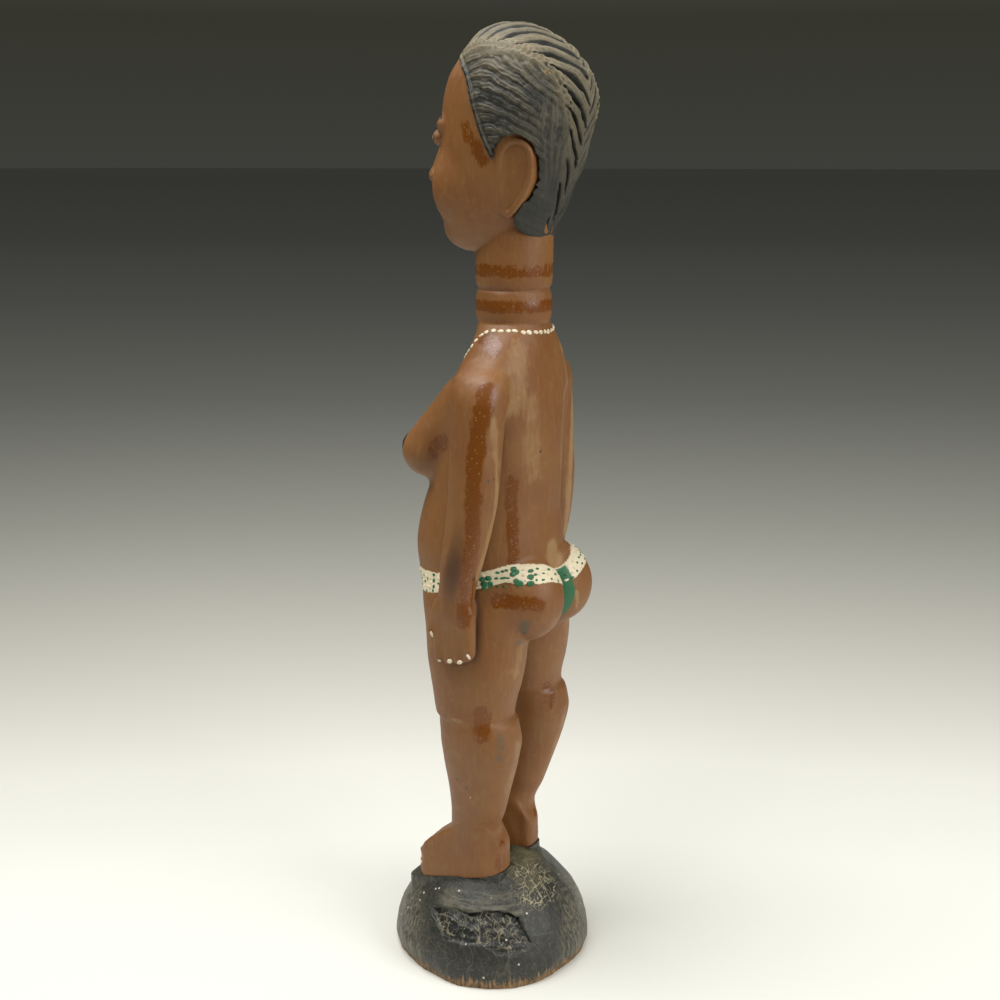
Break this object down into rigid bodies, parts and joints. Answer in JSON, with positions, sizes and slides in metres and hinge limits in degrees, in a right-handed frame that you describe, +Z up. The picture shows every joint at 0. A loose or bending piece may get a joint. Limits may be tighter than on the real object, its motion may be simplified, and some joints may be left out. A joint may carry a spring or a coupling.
{
  "type": "carved wooden spirit spouse figure",
  "caption": "Standing nude female figure carved together with its domed base, arms at its sides, long ringed neck and plaited hair, painted.",
  "frame": {"origin": "centre of the flat underside of the base", "axes": "+Z up through the crown, -Y is the way the figure faces, +X is the figure's own left"},
  "size_m": [0.122, 0.122, 0.55],
  "materials": {
    "painted_wood": "hand-painted brown over carved wood, black hair and base, worn satin"
  },
  "bodies": {
    "root": {"figure": "painted_wood"}
  },
  "joints": []
}
